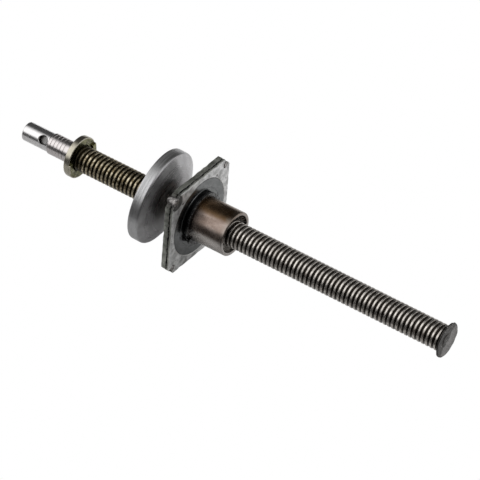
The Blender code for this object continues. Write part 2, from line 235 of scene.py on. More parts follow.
def thread_finish():
    """Bright worn lands over grooves painted near black as painted shade. Near the collar the oil is olive
    brown.
    """
    look = Finish("thread_steel")
    near_collar = look.span(look.x, 150.0, 100.0)
    grime = look.noise(2.2, detail=5.0)
    # The grooves are painted near black, darker still near the collar: painted shade in the groove.
    groove = look.mix(near_collar, (0.030, 0.025, 0.020), (0.013, 0.010, 0.005))
    worn = look.mix(look.span(grime, 0.3, 0.7), (0.34, 0.315, 0.29), (0.70, 0.66, 0.61))
    olive = look.mix(look.span(grime, 0.35, 0.65), (0.13, 0.10, 0.055), (0.54, 0.48, 0.35))
    land = look.mix(near_collar, worn, olive)
    rust = look.span(look.noise(7.0, detail=5.0), 0.58, 0.72)
    land = look.mix(look.math("MULTIPLY", rust, 0.35), land, (0.22, 0.13, 0.08))
    height = look.math("ADD", look.radius, look.math("MULTIPLY", look.noise(0.8, detail=4.0), 0.35))
    # The lands of the first turns beside the collar are painted dark: the collar's painted shadow.
    land = look.mix(look.span(look.x, 57.0, 51.0), land, (0.07, 0.06, 0.04))
    crest = look.span(height, 9.1, 9.6)
    look.color(look.mix(crest, groove, land))
    look.roughness(0.24, 0.42, 0.9)
    scuffs = look.noise(0.45, look.stretched(0.3, 1.0), detail=5.0)
    look.bump(scuffs, 0.02)
    return look.material


def stop_finish():
    look = Finish("stop_steel")
    patches = look.noise(3.2, detail=6.0, rough=0.65)
    base = look.mix(look.span(patches, 0.35, 0.65), (0.030, 0.028, 0.026), (0.085, 0.080, 0.075))
    # Inside the dark rim, the side of the dished face turned to the light is painted lighter: painted light,
    # with the other side left dark as painted shade.
    across = look.math("SUBTRACT", look.math("MULTIPLY", look.y, 0.73), look.math("MULTIPLY", look.z, 0.68))
    across = look.math("ADD", across, look.math("MULTIPLY", patches, 4.0))
    painted_lit_side = look.math("MULTIPLY", look.span(across, 2.2, 4.0), look.span(look.radius, 12.0, 11.2))
    base = look.mix(painted_lit_side, base, look.mix(patches, (0.16, 0.155, 0.15), (0.27, 0.26, 0.255)))
    look.color(look.mix(look.specks(2.6, 0.22), base, (0.42, 0.40, 0.38)))
    look.roughness(0.34, 0.55, 1.0)
    look.bump(look.noise(0.9, detail=6.0, rough=0.65), 0.16)
    return look.material


def zinc_finish():
    """Yellow chromate over zinc: olive, with gold and rosy films, worn patches, and a rim painted pale, partly
    as worn edge and partly as painted highlight.
    """
    look = Finish("yellow_zinc")
    film = look.noise(3.5, detail=4.0, swirl=0.6)
    olive = look.mix(look.span(film, 0.35, 0.65), (0.045, 0.047, 0.022), (0.19, 0.185, 0.095))
    rosy = look.span(look.noise(2.3, detail=3.0), 0.55, 0.7)
    olive = look.mix(look.math("MULTIPLY", rosy, 0.25), olive, (0.34, 0.27, 0.22))
    worn = look.span(look.noise(0.8, detail=5.0), 0.56, 0.68)
    olive = look.mix(look.math("MULTIPLY", worn, 0.5), olive, (0.60, 0.57, 0.48))
    # The rim is painted pale cream against the olive face: partly a worn edge, partly a painted highlight.
    rim = look.mix(film, (0.30, 0.285, 0.21), (0.56, 0.52, 0.45))
    look.color(look.mix(look.span(look.radius, 14.6, 15.3), olive, rim))
    look.roughness(0.2, 0.34, 1.5)
    look.bump(look.noise(0.6, detail=5.0), 0.03)
    return look.material


def disc_finish():
    look = Finish("disc_steel")
    lines = look.noise(0.5, look.turned_place(0.008), detail=5.0)
    cloud = look.noise(9.0, detail=4.0)
    base = look.mix(look.span(cloud, 0.3, 0.7), (0.34, 0.335, 0.34), (0.45, 0.445, 0.45))
    rim = look.span(look.radius, 34.2, 34.9)
    base = look.mix(rim, base, (0.47, 0.47, 0.475))
    # The middle of the domed face is painted dark: a painted reflection of the dark plate behind it.
    painted_dark_reflection = look.math("MULTIPLY", look.span(look.radius, 30.0, 16.0), look.span(look.x, 3.0, 5.0))
    base = look.mix(look.math("MULTIPLY", painted_dark_reflection, 0.55), base, (0.16, 0.15, 0.15))
    specks = look.noise(0.5, detail=6.0, rough=0.7)
    rough_rim = look.math("MULTIPLY", look.span(specks, 0.5, 0.7), rim)
    look.color(look.mix(look.math("MULTIPLY", rough_rim, 0.5), base, (0.16, 0.16, 0.165)))
    grain = look.noise(2.0, look.turned_place(0.02), detail=4.0)
    face_gloss = look.span(grain, 0.3, 0.7, 0.26, 0.33)
    rim_gloss = look.span(specks, 0.35, 0.65, 0.28, 0.46)
    gloss = look.math("ADD", look.math("MULTIPLY", face_gloss, look.math("SUBTRACT", 1.0, rim)),
                      look.math("MULTIPLY", rim_gloss, rim))
    look.tree.links.new(gloss, look.shader.inputs["Roughness"])
    look.bump(lines, 0.014)
    look.bump(look.math("MULTIPLY", specks, rim), 0.05)
    return look.material


def plate_finish():
    """Grey galvanised plate with small dark pits, dirty in the seam, darker round the hammered corner, and with
    its front edge painted pale, partly as edge wear and partly as painted highlight.
    """
    look = Finish("plate_steel", 0.6)
    cloud = look.noise(5.0, detail=5.0, rough=0.6)
    face = look.mix(look.span(cloud, 0.3, 0.7), (0.36, 0.36, 0.355), (0.80, 0.80, 0.795))
    side = look.mix(look.span(cloud, 0.3, 0.7), (0.15, 0.155, 0.135), (0.40, 0.41, 0.37))
    seam = ends("front_plate")[0] / MM
    front = ends("front_plate")[1] / MM
    ripple = look.math("MULTIPLY", look.math("SUBTRACT", look.noise(2.2, detail=3.0), 0.5), 1.6)
    place = look.math("ADD", look.x, ripple)
    gap = look.math("ABSOLUTE", look.math("SUBTRACT", place, seam))
    # Near the front face the sides are painted pale: partly edge wear, partly painted highlight.
    side = look.mix(look.span(place, front - 0.9, front - 0.4), side, (0.62, 0.62, 0.59))
    normal = look.add("ShaderNodeNewGeometry").outputs["True Normal"]
    faces_along = look.math("ABSOLUTE", look.add("ShaderNodeSeparateXYZ", {}, {0: normal}).outputs[0])
    base = look.mix(look.span(faces_along, 0.55, 0.9), side, face)
    # The rounded front edge is painted pale too: partly edge wear, partly painted highlight.
    turned_over = look.math("MULTIPLY", look.span(faces_along, 0.1, 0.3), look.span(faces_along, 0.97, 0.85))
    edge = look.math("MULTIPLY", turned_over, look.span(look.x, front - 1.0, front - 0.8))
    base = look.mix(edge, base, (0.74, 0.74, 0.72))
    base = look.mix(look.span(gap, 0.75, 0.4), base, (0.012, 0.011, 0.010))
    stain = look.span(look.noise(2.4, detail=6.0, rough=0.7), 0.56, 0.68)
    base = look.mix(look.math("MULTIPLY", stain, 0.5), base, (0.14, 0.14, 0.13))
    pits = look.math("MAXIMUM", look.specks(6.5, 0.15), look.specks(3.1, 0.13))
    base = look.mix(pits, base, (0.022, 0.021, 0.02))
    corner = at(0, TACK_REACH, math.radians(45 + 90 * NEAR_CORNER)) / MM
    off_y = look.math("SUBTRACT", look.y, corner.y)
    off_z = look.math("SUBTRACT", look.z, corner.z)
    squares = look.math("ADD", look.math("MULTIPLY", off_y, off_y), look.math("MULTIPLY", off_z, off_z))
    # Darker round the tack in the near corner's notch.
    corner_darkening = look.span(look.math("SQRT", squares), 6.6, 5.2)
    look.color(look.mix(look.math("MULTIPLY", corner_darkening, 0.85), base, (0.03, 0.028, 0.025)))
    look.roughness(0.36, 0.56, 1.4)
    look.bump(look.noise(0.7, detail=6.0, rough=0.65), 0.07)
    look.bump(look.math("MULTIPLY", pits, -1.0), 0.25)
    return look.material


def tack_finish():
    look = Finish("tack_steel")
    patches = look.noise(1.2, detail=5.0)
    look.color(look.mix(look.span(patches, 0.42, 0.6), (0.17, 0.16, 0.155), (0.46, 0.44, 0.43)))
    look.roughness(0.34, 0.5, 0.8)
    look.bump(look.noise(0.8, detail=5.0), 0.08)
    return look.material


def dark_finish():
    """Smooth dark steel under an oil film, with fine turning marks and a few scratches."""
    look = Finish("dark_steel")
    lines = look.noise(0.6, look.turned_place(0.01), detail=4.0)
    cloud = look.noise(6.0, detail=4.0)
    base = look.mix(look.span(cloud, 0.3, 0.7), (0.115, 0.12, 0.12), (0.17, 0.175, 0.175))
    base = look.mix(look.span(look.radius, 19.6, 18.6), base, (0.022, 0.022, 0.023))
    scratches = look.span(look.noise(0.45, look.stretched(1.0, 0.25, 1.2), detail=5.0), 0.63, 0.70)
    look.color(look.mix(look.math("MULTIPLY", scratches, 0.6), base, (0.42, 0.42, 0.41)))
    look.roughness(0.16, 0.27, 1.6)
    look.bump(lines, 0.005)
    look.bump(look.noise(1.6, detail=4.0), 0.02)
    return look.material


def sleeve_finish():
    """Heat-tinted steel: bronze brown clouds, greyer towards the open end, with fine turning. Over the tint, the
    colour goes by height: dark brown on top as painted shade, paler rosy in the middle as painted highlight,
    pale grey underneath as painted light.
    """
    look = Finish("sleeve_steel")
    lines = look.noise(0.4, look.turned_place(0.01), detail=4.0)
    cloud = look.noise(8.0, look.stretched(0.7, 1.0), detail=4.0, swirl=0.4)
    brown = look.mix(look.span(cloud, 0.3, 0.7), (0.115, 0.065, 0.032), (0.165, 0.108, 0.064))
    rosy = look.mix(look.span(cloud, 0.3, 0.7), (0.20, 0.15, 0.125), (0.31, 0.25, 0.22))
    grey = look.mix(cloud, (0.40, 0.37, 0.345), (0.58, 0.545, 0.52))
    # Painted by height over the heat tint: dark brown on top as painted shade, paler rosy in the middle as
    # painted highlight, pale grey underneath as painted light.
    height = look.math("ADD", look.z, look.math("MULTIPLY", cloud, 3.0))
    base = look.mix(look.span(height, 14.4, 16.6), rosy, brown)
    base = look.mix(look.span(height, 5.0, 1.0), base, grey)
    place = look.math("ADD", look.x, look.math("MULTIPLY", cloud, 8.0))
    base = look.mix(look.math("MULTIPLY", look.span(place, 180.0, 186.0), 0.5), base, (0.30, 0.28, 0.26))
    specks = look.span(look.noise(0.8, detail=6.0, rough=0.7), 0.62, 0.72)
    base = look.mix(look.math("MULTIPLY", specks, 0.4), base, (0.42, 0.36, 0.32))
    spots = look.specks(3.4, 0.11)
    look.color(look.mix(spots, base, (0.03, 0.025, 0.02)))
    look.roughness(0.22, 0.34, 2.4)
    look.bump(lines, 0.008)
    look.bump(look.noise(1.1, detail=5.0), 0.02)
    return look.material


def ring_finish(name, dull, bright):
    look = Finish(name)
    cloud = look.noise(1.5, detail=5.0)
    look.color(look.mix(look.span(cloud, 0.4, 0.62), dull, bright))
    look.roughness(0.2, 0.36, 0.8)
    look.bump(look.noise(2.5, detail=2.0), 0.01)
    return look.material


def nut_finish():
    look = Finish("nut_steel")
    lines = look.noise(0.4, look.turned_place(0.01), detail=4.0)
    look.color(look.mix(lines, (0.34, 0.35, 0.34), (0.5, 0.51, 0.5)))
    look.roughness(0.2, 0.35)
    look.bump(lines, 0.01)
    return look.material


def ball_finish():
    look = Finish("ball_steel")
    look.color(look.mix(look.noise(1.0), (0.62, 0.62, 0.63), (0.72, 0.72, 0.73)))
    look.roughness(0.04, 0.1, 0.5)
    return look.material


def wiper_finish():
    look = Finish("wiper", 0.0)
    fibres = look.noise(0.35, look.stretched(1.0, 0.4), detail=6.0, rough=0.7)
    look.color(look.mix(fibres, (0.008, 0.008, 0.008), (0.045, 0.043, 0.04)))
    look.roughness(0.75, 0.95, 0.6)
    look.bump(fibres, 0.12)
    return look.material


# ---------------------------------------------------------------- mesh tools


def make_piece(name, shape, material, slot, body, *replaced):
    """A shown piece from a bmesh, riding on its body in place of the CAD nodes it stands for."""
    bmesh.ops.recalc_face_normals(shape, faces=shape.faces)
    mesh = bpy.data.meshes.new(name)
    shape.to_mesh(mesh)
    shape.free()
    mesh.shade_smooth()
    mesh.set_sharp_from_angle(angle=SHARP_ANGLE)
    mesh.materials.append(material)
    obj = bpy.data.objects.new(name, mesh)
    bpy.context.scene.collection.objects.link(obj)
    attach(obj, body)
    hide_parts(*replaced)
    return obj


def rounded(corners, steps=5):
    """A closed outline of (a, b, fillet) corners, each rounded, with a narrow band beside each
    fillet that keeps the flats looking flat."""
    outline = []
    for before, corner, after in zip(corners[-1:] + corners[:-1], corners, corners[1:] + corners[:1]):
        here = Vector(corner[:2])
        fillet = corner[2] if len(corner) > 2 else 0
        if not fillet:
            outline.append(here)
            continue
        back = Vector(before[:2]) - here
        ahead = Vector(after[:2]) - here
        reach = fillet / math.tan(back.angle(ahead) / 2)
        reach = min(reach, 0.45 * back.length, 0.45 * ahead.length)
        band = min(1.25 * reach, 0.49 * back.length, 0.49 * ahead.length)
        back.normalize()
        ahead.normalize()
        outline.append(here + back * band)
        for step in range(steps + 1):
            share = step / steps
            outline.append(here + back * reach * (1 - share) ** 2 + ahead * reach * share**2)
        outline.append(here + ahead * band)
    return outline


def turned_shape(outline, segments):
    """A closed outline of (station, radius) points turned round the screw's axis."""
    shape = bmesh.new()
    rings = []
    for station, radius in outline:
        if radius <= 0:
            rings.append([shape.verts.new((station, 0, 0))])
            continue
        rings.append([
            shape.verts.new(at(station, radius, WHOLE_TURN * number / segments))
            for number in range(segments)
        ])
    join_rings(shape, rings, rings[1:] + rings[:1], segments)
    return shape


def join_rings(shape, rings, following, segments):
    for ring, other in zip(rings, following):
        for number in range(segments):
            after = number + 1
            corners = (ring[number % len(ring)], ring[after % len(ring)],
                       other[after % len(other)], other[number % len(other)])
            corners = list(dict.fromkeys(corners))
            if len(corners) > 2:
                shape.faces.new(corners)


def ruffle(shape, depth, size, seed, directions=(1, 1, 1)):
    """Moves every point by smooth noise, so that a surface isn't perfectly true."""
    for vert in shape.verts:
        shift = noise.noise_vector(vert.co / size + Vector((seed, seed, seed)))
        vert.co += Vector(a * b for a, b in zip(shift, directions)) * depth


def cutting_tool(shape):
    bmesh.ops.recalc_face_normals(shape, faces=shape.faces)
    mesh = bpy.data.meshes.new("cutter")
    shape.to_mesh(mesh)
    shape.free()
    tool = bpy.data.objects.new("cutter", mesh)
    bpy.context.scene.collection.objects.link(tool)
    return tool


def carve(obj, tools, operation="DIFFERENCE"):
    """Cuts the tools' shapes from a piece for good, and removes the tools."""
    for tool in tools:
        modifier = obj.modifiers.new(tool.name, "BOOLEAN")
        modifier.operation = operation
        modifier.solver = "EXACT"
        modifier.object = tool
    bpy.context.view_layer.update()
    made = bpy.data.meshes.new_from_object(obj.evaluated_get(bpy.context.evaluated_depsgraph_get()))
    obj.modifiers.clear()
    obj.data = made
    made.shade_smooth()
    made.set_sharp_from_angle(angle=SHARP_ANGLE)
    for tool in tools:
        bpy.data.objects.remove(tool, do_unlink=True)


def lathe_tool(outline, segments, foot, direction):
    """A turned tool whose axis runs from foot along direction."""
    shape = turned_shape(outline, segments)
    turn = Vector((1, 0, 0)).rotation_difference(direction).to_matrix().to_4x4()
    bmesh.ops.transform(shape, matrix=Matrix.Translation(foot) @ turn, verts=shape.verts)
    return shape


def rounded_block(middle, size, angle, bevel):
    """A box with rounded edges whose second axis points out from the screw at this angle."""
    shape = bmesh.new()
    bmesh.ops.create_cube(shape, size=1.0)
    bmesh.ops.transform(shape, matrix=Matrix.Diagonal((*size, 1.0)), verts=shape.verts)
    bmesh.ops.bevel(shape, geom=shape.edges[:], offset=bevel, segments=3, affect="EDGES", profile=0.5)
    turn = Matrix.Translation(middle) @ Matrix.Rotation(angle, 4, "X")
    bmesh.ops.transform(shape, matrix=turn, verts=shape.verts)
    return shape


# ---------------------------------------------------------------- screw


def groove_profile(crest_radius):
    """(share of the lead, radius) points from one land's middle to the next."""
    half_land = LAND_SHARE / 2
    depth = crest_radius - ROOT_RADIUS
    points = [(0.0, crest_radius), (half_land * 0.6, crest_radius),
              (half_land - CREST_ROUND * 0.6, crest_radius - 0.015 * MM),
              (half_land, crest_radius - 0.07 * MM)]
    steps = 8
    half_groove = 0.5 - half_land - CREST_ROUND * 0.4
    fullness = 0.95
    shoulder = math.sqrt(1 - fullness**2)
    for step in range(steps + 1):
        across = 2 * step / steps - 1
        lift = (1 - math.sqrt(1 - (across * fullness) ** 2)) / (1 - shoulder)
        radius = ROOT_RADIUS + (depth - 0.16 * MM) * lift
        points.append((0.5 + across * half_groove, radius))
    points += [(1 - share, radius) for share, radius in reversed(points[1:4])]
    return points


def screw_shaft(material):
    start, _, crest_radius = ends("screw_shaft")
    crest_radius = 9.525 * MM
    profile = groove_profile(crest_radius)
    segments, rows = 72, len(profile)
    first = math.floor(start / LEAD) - 3
    turns = math.ceil(THREAD_END / LEAD) + 3 - first
    shape = bmesh.new()
    grid = []
    for column in range(segments):
        turned_by = column / segments
        line = []
        for row in range(turns * rows):
            share, radius = profile[row % rows]
            station = (first + row // rows + share + turned_by) * LEAD
            line.append(shape.verts.new(at(station, radius, -turned_by * WHOLE_TURN)))
        grid.append(line)
    for column in range(segments):
        wraps = column == segments - 1
        beside = grid[0][rows:] if wraps else grid[column + 1]
        here = grid[column]
        for row in range(len(beside) - 1):
            shape.faces.new((here[row], here[row + 1], beside[row + 1], beside[row]))
    for station, direction in ((start, -1), (THREAD_END, 1)):
        cut = bmesh.ops.bisect_plane(
            shape, geom=[*shape.verts, *shape.edges, *shape.faces], dist=0.0001 * MM,
            plane_co=(station, 0, 0), plane_no=(direction, 0, 0), clear_outer=True)
        rim = [item for item in cut["geom_cut"] if isinstance(item, bmesh.types.BMEdge)]
        bmesh.ops.edgeloop_fill(shape, edges=rim)
    shaft = make_piece("thread", shape, material, "thread_steel", "screw", "screw_shaft")
    stop_back, stop_front, _ = ends("end_stop")
    neck = turned_shape(rounded([
        (THREAD_END - 0.5 * MM, 0), (THREAD_END - 0.5 * MM, NECK_RADIUS, 0.1 * MM),
        (stop_back + 0.1 * MM, NECK_RADIUS), (stop_back + 0.1 * MM, 0)]), SMALL)
    make_piece("thread_neck", neck, material, "thread_steel", "screw")
    return shaft


def drive_journal(material):
    start, end, seat_radius = ends("drive_journal")
    seat_radius = 7.94 * MM
    corners = [(start, 0), (start, JOURNAL_RADIUS, 0.8 * MM),
               (SEAT_START, JOURNAL_RADIUS, 0.3 * MM), (SEAT_START + 0.8 * MM, seat_radius, 0.3 * MM)]
    for number in range(RING_COUNT):
        groove = SEAT_START + (number + 1) * RING_SPACING
        lean = RING_WIDTH / 4
        corners += [(groove, seat_radius, 0.08 * MM), (groove + lean, seat_radius - RING_DEPTH, 0.1 * MM),
                    (groove + RING_WIDTH - lean, seat_radius - RING_DEPTH, 0.1 * MM),
                    (groove + RING_WIDTH, seat_radius, 0.08 * MM)]
    corners += [(end, seat_radius, 0.2 * MM), (end, 0)]
    journal = make_piece("journal", turned_shape(rounded(corners, 3), ROUND), material,
                         "journal_steel", "screw", "drive_journal")
    outward = at(0, 1, CROSS_HOLE_ANGLE)
    reach = JOURNAL_RADIUS + 2 * MM
    mouth = JOURNAL_RADIUS - HOLE_MOUTH * 1.6
    outline = [(-reach, 0), (-reach, CROSS_HOLE_RADIUS + 3 * HOLE_MOUTH), (-mouth, CROSS_HOLE_RADIUS),
               (mouth, CROSS_HOLE_RADIUS), (reach, CROSS_HOLE_RADIUS + 3 * HOLE_MOUTH), (reach, 0)]
    centre = Vector((CROSS_HOLE_STATION, 0, 0))
    carve(journal, [cutting_tool(lathe_tool(outline, SMALL, centre, outward))])


def end_stop(material):
    back, front, radius = ends("end_stop")
    radius = 12.85 * MM
    dish = 0.55 * MM
    outline = rounded([
        (back, 0), (back, radius - 0.3 * MM, 0.5 * MM), (back + 0.5 * MM, radius, 0.3 * MM),
        (front - 0.1 * MM, radius - 0.25 * MM, 0.4 * MM), (front, radius - 1.5 * MM, 0.3 * MM),
        (front - dish, radius - 3.2 * MM, 0.8 * MM), (front - dish * 1.3, 5.6 * MM, 0.3 * MM),
        (front - dish * 0.4, 4.9 * MM, 0.5 * MM), (front - dish * 0.2, 2.5 * MM, 0.8 * MM),
        (front - dish * 0.8, 0)])
    dense = []
    for here, after in zip(outline, outline[1:] + outline[:1]):
        pieces = max(1, int((after - here).length / (0.9 * MM)))
        dense += [here.lerp(after, step / pieces) for step in range(pieces)]
    shape = turned_shape(dense, 96)
    ruffle(shape, 0.35 * MM, 3.5 * MM, 4.2, (0.35, 1, 1))
    make_piece("stop_cap", shape, material, "stop_steel", "screw", "end_stop")


# ---------------------------------------------------------------- collar and disc


def thrust_collar(material):
    back, tip, radius = ends("thrust_collar")
    radius = 15.7 * MM
    front = 48.6 * MM
    edge = 0.7 * MM
    step = 45.8 * MM
    outline = rounded([
        (back, 8.24 * MM, 0.2 * MM), (step, 8.24 * MM), (step, 9.95 * MM), (front, 9.95 * MM, 0.35 * MM),
        (front, radius, edge), (back, radius, edge)])
    shape = turned_shape(outline, FINE)
    ruffle(shape, 0.12 * MM, 6 * MM, 1.7)
    collar = make_piece("collar", shape, material, "yellow_zinc", "thrust_collar", "thrust_collar")
    inner = 11.2 * MM
    outer = radius - 0.5 * MM
    lugs = []
    for angle in (math.radians(8), math.radians(188)):
        length = tip - front + 1 * MM
        middle = at(tip - length / 2, (inner + outer) / 2, angle)
        lugs.append(cutting_tool(rounded_block(
            middle, (length, outer - inner, 7.6 * MM), angle, 0.4 * MM)))
    carve(collar, lugs, "UNION")


def guide_disc(material):
    """The thick loose disc, turned in its own frame and leaned over. Fine lines run round its rim."""
    dome = [(8.0, 0.4), (9.1, 2.4), (10.6, 5.0), (12.2, 8.5), (13.8, 12.5), (15.2, 17.0), (16.2, 21.0)]
    corners = [(0, DISC_BORE, 0.4 * MM), (0, DISC_RADIUS, 0.9 * MM)]
    for line in (1.7, 2.7, 4.6):
        corners += [(line * MM, DISC_RADIUS, 0.05 * MM), ((line + 0.12) * MM, DISC_RADIUS - 0.09 * MM),
                    ((line + 0.24) * MM, DISC_RADIUS, 0.05 * MM)]
    corners += [(7.0 * MM, DISC_RADIUS, 1.0 * MM)]
    corners += [(along * MM, DISC_RADIUS - down * MM, 1.6 * MM) for along, down in dome]
    corners += [(16.2 * MM, DISC_BORE, 0.5 * MM)]
    outline = [(along - DISC_HALF_WIDTH, radius) for along, radius in rounded(corners)]
    disc = make_piece("disc", turned_shape(outline, FINE), material, "disc_steel", "guide_disc",
                      "guide_disc")
    normal = at(math.cos(DISC_LEAN), -math.sin(DISC_LEAN), DISC_LEAN_ANGLE)
    lean = Vector((1, 0, 0)).rotation_difference(normal).to_matrix().to_4x4()
    disc.matrix_world = Matrix.Translation(DISC_PIVOT) @ lean


# ---------------------------------------------------------------- plates


def plate_outline(half_side):
    """The square's outline in (Y, Z), with cut and notched corners, as closely spaced points."""
    diagonal = half_side * math.sqrt(2)
    corners = []
    for number in range(4):
        angle = math.radians(45 + 90 * number)
        out = Vector((math.cos(angle), math.sin(angle)))
        side = Vector((-out.y, out.x))
        wide = WIDE_NOTCH_WIDTH / 2 if number == NEAR_CORNER else diagonal - CORNER_REACH
        first = [(diagonal - wide, -wide, 0.9 * MM)]
        if number == NEAR_CORNER:
            first += [(WIDE_NOTCH_REACH, -wide + 0.4 * MM, 0.6 * MM)]
            mouth = WIDE_NOTCH_REACH
        else:
            mouth = CORNER_REACH
        first += [(mouth, -NOTCH_RADIUS, 0.4 * MM)]
        for step in range(9):
            turn = math.pi * (step / 8 - 0.5)
            first.append((TACK_REACH - NOTCH_RADIUS * math.cos(turn), NOTCH_RADIUS * math.sin(turn), 0))
        mirrored = [(along, -across, fillet) for along, across, fillet in reversed(first[:-9])]
        for along, across, fillet in first + mirrored:
            corners.append((*(out * along + side * across), fillet))
    outline = rounded(corners, 4)
    dense = []
    for here, after in zip(outline, outline[1:] + outline[:1]):
        pieces = max(1, int((after - here).length / (1.2 * MM)))
        dense += [here.lerp(after, step / pieces) for step in range(pieces)]
    return [point for point, after in zip(dense, dense[1:] + dense[:1]) if (after - point).length > 1e-6]


def inward(outline):
    """The unit direction into the plate at each point of an outline that runs anticlockwise."""
    directions = []
    for before, after in zip(outline[-1:] + outline[:-1], outline[1:] + outline[:1]):
        along = (after - before).normalized()
        directions.append(Vector((-along.y, along.x)))
    return directions


def plate(name, node, bore, seed, material):
    back, front, _ = ends(node)
    half_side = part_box(node)[1].y
    outline = plate_outline(half_side)
    wavy = []
    for point, direction in zip(outline, inward(outline)):
        place = Vector((point.x, point.y, 0)) / (4.5 * MM) + Vector((seed, 0, 0))
        dent = max(0.0, noise.noise(place) + 0.15) * 0.75 * MM
        wavy.append(point + direction * dent)
    directions = inward(wavy)
    shape = bmesh.new()
    rings = []
    for along, inset in ((back, 1.25), (back, 1.0), (back + PLATE_EDGE * 0.3, 0.3), (back + PLATE_EDGE, 0.0),
                         (front - PLATE_EDGE, 0.0), (front - PLATE_EDGE * 0.3, 0.3), (front, 1.0),
                         (front, 1.25)):
        rings.append([
            shape.verts.new((along, *(point + direction * inset * PLATE_EDGE)))
            for point, direction in zip(wavy, directions)])
    join_rings(shape, rings[:-1], rings[1:], len(wavy))
    steps = ROUND
    lip = 0.25 * MM
    bores = []
    for along, grown in ((back, lip), (back + lip, 0), (front - lip, 0), (front, lip)):
        bores.append([shape.verts.new(at(along, bore + grown, WHOLE_TURN * number / steps))
                      for number in range(steps)])
    join_rings(shape, bores[:-1], bores[1:], steps)
    shape.edges.ensure_lookup_table()
    for outer, inner in ((rings[0], bores[0]), (rings[-1], bores[-1])):
        chosen = set(outer) | set(inner)
        loops = []
        for loop in (outer, inner):
            for here, after in zip(loop, loop[1:] + loop[:1]):
                loops.append(shape.edges.get((here, after)))
        bmesh.ops.triangle_fill(shape, use_beauty=True, use_dissolve=False, edges=loops)
        del chosen
    make_piece(name, shape, material, "plate_steel", "nut_unit", node)


def corner_tacks(material):
    """A riveted tack in each corner notch. The near one is broad and badly hammered."""
    for number in range(4):
        node = f"corner_tack_{number + 1}"
        back, front, _ = ends(node)
        angle = math.radians(45 + 90 * number)
        near = number == NEAR_CORNER
        radius = (3.0 if near else 1.9) * MM
        waist = radius - 0.25 * MM
        outline = rounded([
            (back, 0), (back, radius * 0.8, 0.4 * MM), (back + 0.5 * MM, radius, 0.4 * MM),
            (back + 1.6 * MM, waist, 0.5 * MM), (front - 1.6 * MM, waist, 0.5 * MM),
            (front - 0.5 * MM, radius, 0.4 * MM), (front + 0.1 * MM, radius * 0.7, 0.6 * MM),
            (front + 0.25 * MM, 0)], 4)
        shape = turned_shape(outline, SMALL)
        if near:
            for vert in shape.verts:
                share = (vert.co.x - back) / (front - back)
                vert.co.y *= 1.15 - 0.25 * share
                vert.co.z *= 0.85 + 0.85 * (1 - abs(2 * share - 1.1))
        ruffle(shape, (0.7 if near else 0.35) * MM, 3.2 * MM, 3.1 * number)
        reach = TACK_REACH + (0.5 * MM if near else 0)
        matrix = Matrix.Translation(at(0, reach, angle)) @ Matrix.Rotation(angle, 4, "X")
        bmesh.ops.transform(shape, matrix=matrix, verts=shape.verts)
        make_piece(f"tack_{number + 1}", shape, material, "tack_steel", "nut_unit", node)


# ---------------------------------------------------------------- nut


def nut_shell(dark, brown, bright):
    back, front, _ = ends("nut_sleeve")
    outer, bore = 16.5 * MM, 14.1 * MM
    seat = outer + 0.15 * MM
    make_piece("sleeve", turned_shape(rounded([
        (back, bore, 0.2 * MM), (front, bore, 0.5 * MM), (front, outer, 0.7 * MM), (back, outer, 0.4 * MM),
    ]), ROUND), brown, "sleeve_steel", "nut_unit", "nut_sleeve")
    start, end, _ = ends("pilot_ring")
    make_piece("pilot", turned_shape(rounded([
        (start, seat, 0.2 * MM), (end, seat), (end, 20.0 * MM), (start, 20.0 * MM, 0.4 * MM),
    ]), ROUND), dark, "dark_steel", "nut_unit", "pilot_ring")
    start, end, _ = ends("nut_flange")
    make_piece("flange", turned_shape(rounded([
        (start, seat), (end, seat, 0.2 * MM), (end, 21.6 * MM, 0.2 * MM), (end - 0.25 * MM, 21.8 * MM, 0.1 * MM),
        (end - 0.25 * MM, 22.4 * MM, 0.1 * MM), (end, 22.6 * MM, 0.2 * MM),
        (end, 29.2 * MM, 0.35 * MM), (start, 29.2 * MM),
    ]), FINE), dark, "dark_steel", "nut_unit", "nut_flange")
    start, end, _ = ends("nut_hub")
    make_piece("hub", turned_shape(rounded([
        (start - 0.2 * MM, seat), (end, seat, 0.2 * MM), (end, 18.4 * MM, 0.5 * MM),
        (start - 0.2 * MM, 18.4 * MM),
    ]), ROUND), dark, "dark_steel", "nut_unit", "nut_hub")
    snap_ring(bright)


def snap_ring(material):
    """An open spring ring whose two ends carry small round lugs."""
    back, front, _ = ends("snap_ring")
    inner, outer = 16.7 * MM, 19.6 * MM
    start, end = math.radians(212), math.radians(550)
    corners = rounded([(back, inner, 0.25 * MM), (front, inner, 0.25 * MM), (front, outer, 0.3 * MM),
                       (back, outer, 0.3 * MM)], 3)
    steps = 150
    shape = bmesh.new()
    rings = []
    for step in range(steps + 1):
        angle = start + (end - start) * step / steps
        away = min(step, steps - step) / steps
        swell = 1.1 * MM * math.exp(-((away * 26) ** 2))
        taper = 1.0 - 0.25 * math.exp(-((away * 60) ** 2))
        rings.append([
            shape.verts.new(at(along, inner + (radius - inner) * taper + swell * (radius > 18 * MM), angle))
            for along, radius in corners])
    join_rings(shape, rings[:-1], rings[1:], len(corners))
    shape.faces.new(rings[0])
    shape.faces.new(rings[-1])
    make_piece("spring_ring", shape, material, "ring_steel", "nut_unit", "snap_ring")


